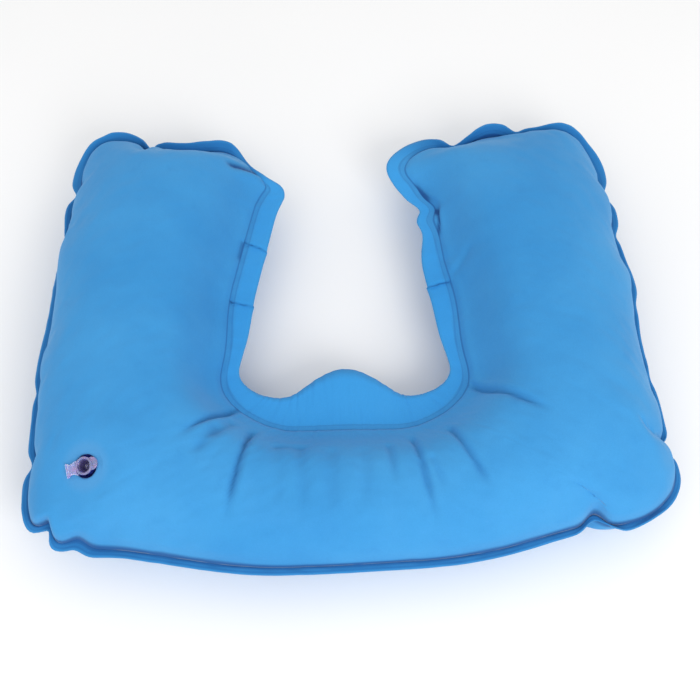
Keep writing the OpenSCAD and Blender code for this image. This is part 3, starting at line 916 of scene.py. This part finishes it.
def flap_pieces():
    """The one-way flap under the tube: its disc with rounded edges, its arm and its pin."""
    x, _, z = to_valve(np.array(JOINTS["flap_open"]["pos_m"]) / MM)
    low, high, half = z - FLAP_T / 2, z + FLAP_T / 2, FLAP_ARM_W / 2
    corners = [(FLAP_R, low, 0.2), (FLAP_R, high, 0.2), (0.02, high, 0), (0.02, low, 0)]
    disc = lathe("flap_disc", rounded_profile(corners))
    # It is cut straight beside the lugs, so that it clears them when it hangs open
    local = to_valve(points_of(disc.data) / MM)
    local[:, 0] = np.maximum(local[:, 0], -BORE_R - FLAP_SEAT)
    disc.data.vertices.foreach_set("co", (to_row(local) * MM).astype(np.float32).ravel())
    disc.data.update()
    reach = 0.8 - FLAP_R
    arm = slab("flap_arm", [(x, -half), (reach, -half), (reach, half), (x, half)], low, high, 0.12)
    turn = np.arange(PIN_STEPS) * 2 * math.pi / PIN_STEPS
    end, tip = PIN_LEN / 2, PIN_R - PIN_BEVEL
    ends = [(-end, tip), (PIN_BEVEL - end, PIN_R), (end - PIN_BEVEL, PIN_R), (end, tip)]
    rings = [np.c_[x + r * np.cos(turn), np.full(PIN_STEPS, y), z + r * np.sin(turn)] for y, r in ends]
    numbers = ring_numbers(len(rings), PIN_STEPS)
    faces = [*ring_quads(numbers), numbers[0], numbers[-1][::-1]]
    pin = new_object("flap_pin", to_row(np.vstack(rings)), faces)
    return [disc, arm, pin]


def web_piece():
    """Thin wall from the welded disc down to the tube, with a soft S in its section."""
    top = -PAD_UNDER - BASE_T
    t = np.linspace(0, 1, WEB_STEPS)
    rim = RECESS_R + 0.15
    r = rim - (rim - STEM_R) * smooth(t)
    z = top - WEB_DEPTH * t
    inner = list(zip(r, z))
    outer = [(a + WEB_T, b - 0.1) for a, b in inner]
    return lathe("rolling_web", inner[::-1] + outer)


# ---- Materials ----


class Nodes:
    """A material's node tree with short ways to add and join nodes."""

    def __init__(self, name):
        self.material = bpy.data.materials.new(name)
        self.material.use_nodes = True
        self.tree = self.material.node_tree
        self.shader = self.tree.nodes["Principled BSDF"]
        self.coords = self.add("ShaderNodeTexCoord").outputs["Object"]

    def add(self, kind, **values):
        node = self.tree.nodes.new(kind)
        for key, value in values.items():
            setattr(node, key, value)
        return node

    def link(self, value, socket):
        """Links another node's output to the socket, or gives the socket a value."""
        if isinstance(value, bpy.types.NodeSocket):
            self.tree.links.new(value, socket)
        else:
            socket.default_value = value

    def noise(self, scale, detail=3.0, roughness=0.5, distortion=0.0, coords=None):
        node = self.add("ShaderNodeTexNoise")
        values = {"Scale": scale, "Detail": detail, "Roughness": roughness, "Distortion": distortion}
        for key, value in {"Vector": coords or self.coords, **values}.items():
            self.link(value, node.inputs[key])
        return node.outputs["Fac"]

    def ramp(self, value, *stops):
        """Colour by value: stops are (place, colour)."""
        node = self.add("ShaderNodeValToRGB")
        ramp = node.color_ramp
        while len(ramp.elements) < len(stops):
            ramp.elements.new(0.5)
        for element, (place, colour) in zip(ramp.elements, stops):
            element.position = place
            element.color = (*colour, 1)
        self.link(value, node.inputs["Fac"])
        return node.outputs["Color"]

    def span(self, value, low, high, to_low=0.0, to_high=1.0):
        """Smooth step from to_low to to_high, as value goes from low to high."""
        node = self.add("ShaderNodeMapRange", interpolation_type="SMOOTHSTEP")
        ends = {"From Min": low, "From Max": high, "To Min": to_low, "To Max": to_high}
        for key, number in {"Value": value, **ends}.items():
            self.link(number, node.inputs[key])
        return node.outputs["Result"]

    def times(self, a, b):
        """Product of a socket and a socket or number."""
        node = self.add("ShaderNodeMath", operation="MULTIPLY")
        self.link(a, node.inputs[0])
        self.link(b, node.inputs[1])
        return node.outputs["Value"]

    def mix(self, factor, a, b, blend="MIX"):
        node = self.add("ShaderNodeMix", data_type="RGBA", blend_type=blend)
        sockets = {s.identifier: s for s in node.inputs}
        for key, value in {"Factor_Float": factor, "A_Color": a, "B_Color": b}.items():
            self.link((*value, 1) if isinstance(value, tuple) else value, sockets[key])
        return next(s for s in node.outputs if s.identifier == "Result_Color")

    def attribute(self, name):
        return self.add("ShaderNodeAttribute", attribute_name=name).outputs["Fac"]

    def bump(self, height, strength, distance, onto=None):
        node = self.add("ShaderNodeBump")
        node.inputs["Strength"].default_value = strength
        node.inputs["Distance"].default_value = distance
        self.link(height, node.inputs["Height"])
        if onto is not None:
            self.link(onto, node.inputs["Normal"])
        return node.outputs["Normal"]

    def set(self, **values):
        """Numbers straight onto the shader's own sockets."""
        for key, value in values.items():
            self.shader.inputs[key.replace("_", " ")].default_value = value


FILM_BLUE = (0.034, 0.262, 0.60)
FILM_PALE = (0.052, 0.315, 0.665)
FILM_DEEP = (0.020, 0.190, 0.50)
WELD_BLUE = (0.012, 0.105, 0.33)
# Painted light for the margins
MARGIN_PAINTED_LIGHT = (0.030, 0.33, 0.78)
# Painted shade for the outer margin
OUTER_SHADE_BLUE = (0.023, 0.205, 0.51)
# Painted shade for the creases, the pleats and beside the outer seam
PAINTED_SHADE_BLUE = (0.008, 0.075, 0.26)
SCUFF = (0.16, 0.46, 0.80)
DISC_TINT = (0.105, 0.32, 0.62)


def flocked_film():
    """Short blue flock on PVC: matt, slightly mottled, with darker welds and worn edges, painted light on the
    margins and painted shade on the outer margin and in the creases and pleats.
    """
    n = Nodes("flocked_film")
    broad = n.noise(11, 4, 0.55)
    cloud = n.noise(42, 5, 0.6, 0.4)
    fine = n.noise(2600, 2, 0.7)
    colour = n.ramp(broad, (0.35, FILM_BLUE), (0.70, FILM_PALE))
    mottle = n.span(cloud, 0.42, 0.72, 0, 0.20)
    colour = n.mix(mottle, colour, FILM_PALE)
    shade = n.span(n.noise(75, 4, 0.6), 0.55, 0.8, 0, 0.16)
    colour = n.mix(shade, colour, FILM_DEEP)
    # Sparse pale scuffs where the flock is brushed over
    stretch = n.add("ShaderNodeMapping")
    stretch.inputs["Scale"].default_value = (1.0, 0.32, 1.0)
    stretch.inputs["Rotation"].default_value = (0, 0, 0.5)
    n.link(n.coords, stretch.inputs["Vector"])
    scuff = n.span(n.noise(65, 6, 0.7, 1.2, stretch.outputs["Vector"]), 0.68, 0.80, 0, 0.35)
    colour = n.mix(scuff, colour, SCUFF)
    # Darker pressed weld beside the seam, and a paler trimmed edge
    from_seam = n.attribute("from_seam")
    weld = n.times(n.span(from_seam, -0.9, 0.5), n.span(from_seam, 2.2, 3.8, 1, 0))
    line = n.times(n.span(from_seam, -0.5, 0.0), n.span(from_seam, 0.2, 0.8, 1, 0))
    edge = n.times(n.span(from_seam, 2.6, 3.2), n.span(from_seam, 3.3, 3.9, 1, 0))
    # Painted light makes the margins paler than the dome
    colour = n.mix(n.span(from_seam, 2.5, 5, 0, 0.45), colour, MARGIN_PAINTED_LIGHT)
    # Painted shade over the outer margin, and a darker painted shadow beside the outer seam
    outer = n.span(n.attribute("outer"), 0.35, 0.9)
    colour = n.mix(n.times(outer, n.span(from_seam, -0.6, 0.6)), colour, OUTER_SHADE_BLUE)
    groove = n.times(outer, n.span(from_seam, 0.6, 2.0, 0.75, 0))
    colour = n.mix(groove, colour, PAINTED_SHADE_BLUE)
    # The darker pressed weld band and its lines
    colour = n.mix(n.times(weld, 0.14), colour, WELD_BLUE)
    colour = n.mix(n.times(line, 0.55), colour, WELD_BLUE)
    colour = n.mix(n.times(edge, 0.30), colour, WELD_BLUE)
    # Painted shade in the creases and pleats
    colour = n.mix(n.span(n.attribute("fold"), 0, 1), colour, PAINTED_SHADE_BLUE)
    rim = n.span(n.attribute("to_cut"), 0.2, 1.4, 0.35, 0)
    colour = n.mix(rim, colour, FILM_PALE)
    # The welded disc shows through as a paler round
    disc = n.add("ShaderNodeVectorMath", operation="DISTANCE")
    n.link(n.coords, disc.inputs[0])
    disc.inputs[1].default_value = tuple(VALVE_AT * MM)
    far = disc.outputs["Value"]
    show = n.span(far, (DISC_R - 5) * MM, (DISC_R + 1.5) * MM, 0.38, 0)
    colour = n.mix(show, colour, DISC_TINT)
    flock = n.ramp(fine, (0.30, (0.86, 0.86, 0.86)), (0.70, (1.10, 1.10, 1.10)))
    colour = n.mix(0.55, colour, flock, "MULTIPLY")
    n.link(colour, n.shader.inputs["Base Color"])
    n.link(n.span(cloud, 0.3, 0.8, 0.78, 0.92), n.shader.inputs["Roughness"])
    n.set(Specular_IOR_Level=0.25, Sheen_Weight=0.25, Sheen_Roughness=0.45)
    n.shader.inputs["Sheen Tint"].default_value = (0.62, 0.82, 1.0, 1)
    dimple = n.bump(n.noise(210, 4, 0.55), 0.22, 0.6 * MM)
    n.link(n.bump(fine, 0.35, 0.12 * MM, dimple), n.shader.inputs["Normal"])
    return n.material


PVC_CLEAR = (0.48, 0.58, 0.92)
PVC_WARM = (0.72, 0.55, 0.92)
# Painted shade for the stopper's hollow
HOLLOW_SHADE_VIOLET = (0.17, 0.15, 0.42)
# Painted shade of the recess: the inner valve pieces are dark navy
WEB_SHADE_NAVY, WEB_SHADE = (0.050, 0.075, 0.46), (0.025, 0.040, 0.30)
# How much of the light goes through the outer pieces and the inner ones
CLEAR, DIM = 0.70, 0.25


def soft_pvc(name, light, warm, transmission):
    """Soft translucent PVC with flow marks and small scratches, and deep violet painted shade in the stopper's
    hollow.
    """
    n = Nodes(name)
    tint = n.ramp(n.noise(330, 3, 0.6), (0.40, light), (0.62, warm))
    # Painted shade in the stopper's hollow, paler in its middle by a painted reflection
    tint = n.mix(n.attribute("painted_hollow_shade"), tint, HOLLOW_SHADE_VIOLET)
    n.link(tint, n.shader.inputs["Base Color"])
    n.link(n.span(n.noise(900, 4, 0.6), 0.3, 0.75, 0.10, 0.30), n.shader.inputs["Roughness"])
    n.set(IOR=1.52, Transmission_Weight=transmission, Coat_Weight=0.2)
    n.link(n.bump(n.noise(700, 3, 0.5), 0.15, 0.08 * MM), n.shader.inputs["Normal"])
    return n.material


def pale_floor():
    n = Nodes("pale_floor")
    tone = n.ramp(n.noise(3, 2), (0.3, (0.93, 0.93, 0.93)), (0.7, (0.96, 0.96, 0.96)))
    n.link(tone, n.shader.inputs["Base Color"])
    n.set(Roughness=0.9, Specular_IOR_Level=0.1)
    return n.material


def paint(obj, material):
    obj.data.materials.clear()
    obj.data.materials.append(material)


# ---- Stage, light and camera ----


def floor():
    reach, drop = 3000, -0.2
    points = [(-reach, -reach, drop), (reach, -reach, drop), (reach, reach, drop), (-reach, reach, drop)]
    obj = new_object("floor", points, [(0, 1, 2, 3)])
    paint(obj, pale_floor())


WORLD_STRENGTH = 0.82
# Name, place, target, size, watts, colour
LIGHTS = [
    ("key", (0.45, -0.95, 0.85), (0, -0.05, 0), 0.6, 6.3, (1, 0.99, 0.97)),
    ("fill", (-0.35, -0.8, 1.1), (0, 0.05, 0), 1.0, 3.0, (0.97, 0.98, 1)),
]


def lights():
    world = bpy.data.worlds.new("studio")
    world.use_nodes = True
    background = world.node_tree.nodes["Background"]
    background.inputs["Color"].default_value = (1, 1, 1, 1)
    background.inputs["Strength"].default_value = WORLD_STRENGTH
    bpy.context.scene.world = world
    for name, place, target, size, power, colour in LIGHTS:
        light = bpy.data.lights.new(name, "AREA")
        light.energy, light.size, light.color = power, size, colour
        obj = bpy.data.objects.new(name, light)
        obj.location = place
        obj.rotation_euler = (Vector(target) - Vector(place)).to_track_quat("-Z", "Y").to_euler()
        bpy.context.scene.collection.objects.link(obj)


# The camera is 0.70 m from the cushion and looks down 60 degrees onto its front bar
CAMERA_AT = (-0.01526, -0.35787, 0.62949)
CAMERA_DOWN, CAMERA_TURN, CAMERA_ROLL = 60.0, -3.164, 1.677
LENS, SENSOR = 55.97, 36.0


def camera():
    a, e, r = (math.radians(x) for x in (CAMERA_TURN, CAMERA_DOWN, CAMERA_ROLL))
    back = Vector((math.sin(a) * math.cos(e), -math.cos(a) * math.cos(e), math.sin(e)))
    right = (-back).cross(Vector((0, 0, 1))).normalized()
    up = right.cross(-back)
    across = math.cos(r) * right + math.sin(r) * up
    above = -math.sin(r) * right + math.cos(r) * up
    data = bpy.data.cameras.new("camera")
    data.lens, data.sensor_width = LENS, SENSOR
    data.clip_start = 0.05
    obj = bpy.data.objects.new("camera", data)
    place = Matrix((across, above, back)).transposed().to_4x4()
    place.translation = Vector(CAMERA_AT)
    obj.matrix_world = place
    bpy.context.scene.collection.objects.link(obj)
    bpy.context.scene.camera = obj


# ---- Assembly ----


def films(material):
    seam, plan, top, low, margin = cushion_form()
    for node, form in (("upper_film", top), ("lower_film", low)):
        piece = film(node + "_skin", form, margin, plan, seam, node == "upper_film")
        paint(piece, material)
        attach(piece, "cushion")
        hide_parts(node)


# The inner pieces get the dark navy PVC, which paints the shade in the valve's recess
def valve(material, inner):
    for piece in stopper_pieces():
        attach(piece, "plug")
        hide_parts("stopper")
        paint(piece, material)
    strip = strap_piece()
    paint(strip, material)
    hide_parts("strap", "strap_root")
    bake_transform(strip)
    web = web_piece()
    paint(web, inner)
    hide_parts("valve_web")
    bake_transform(web)
    for piece in flap_pieces():
        paint(piece, inner)
        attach(piece, "flap")
        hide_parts("check_flap")
    for node in ("valve_base", "valve_stem"):
        paint(frame["nodes"][node], inner)


bpy.context.scene.view_settings.view_transform = "Standard"
camera()
floor()
lights()
films(flocked_film())
clear = soft_pvc("clear_pvc", PVC_CLEAR, PVC_WARM, CLEAR)
# The inner valve pieces get dark navy PVC as painted shade in the recess
valve(clear, soft_pvc("painted_shade_pvc", WEB_SHADE_NAVY, WEB_SHADE, DIM))
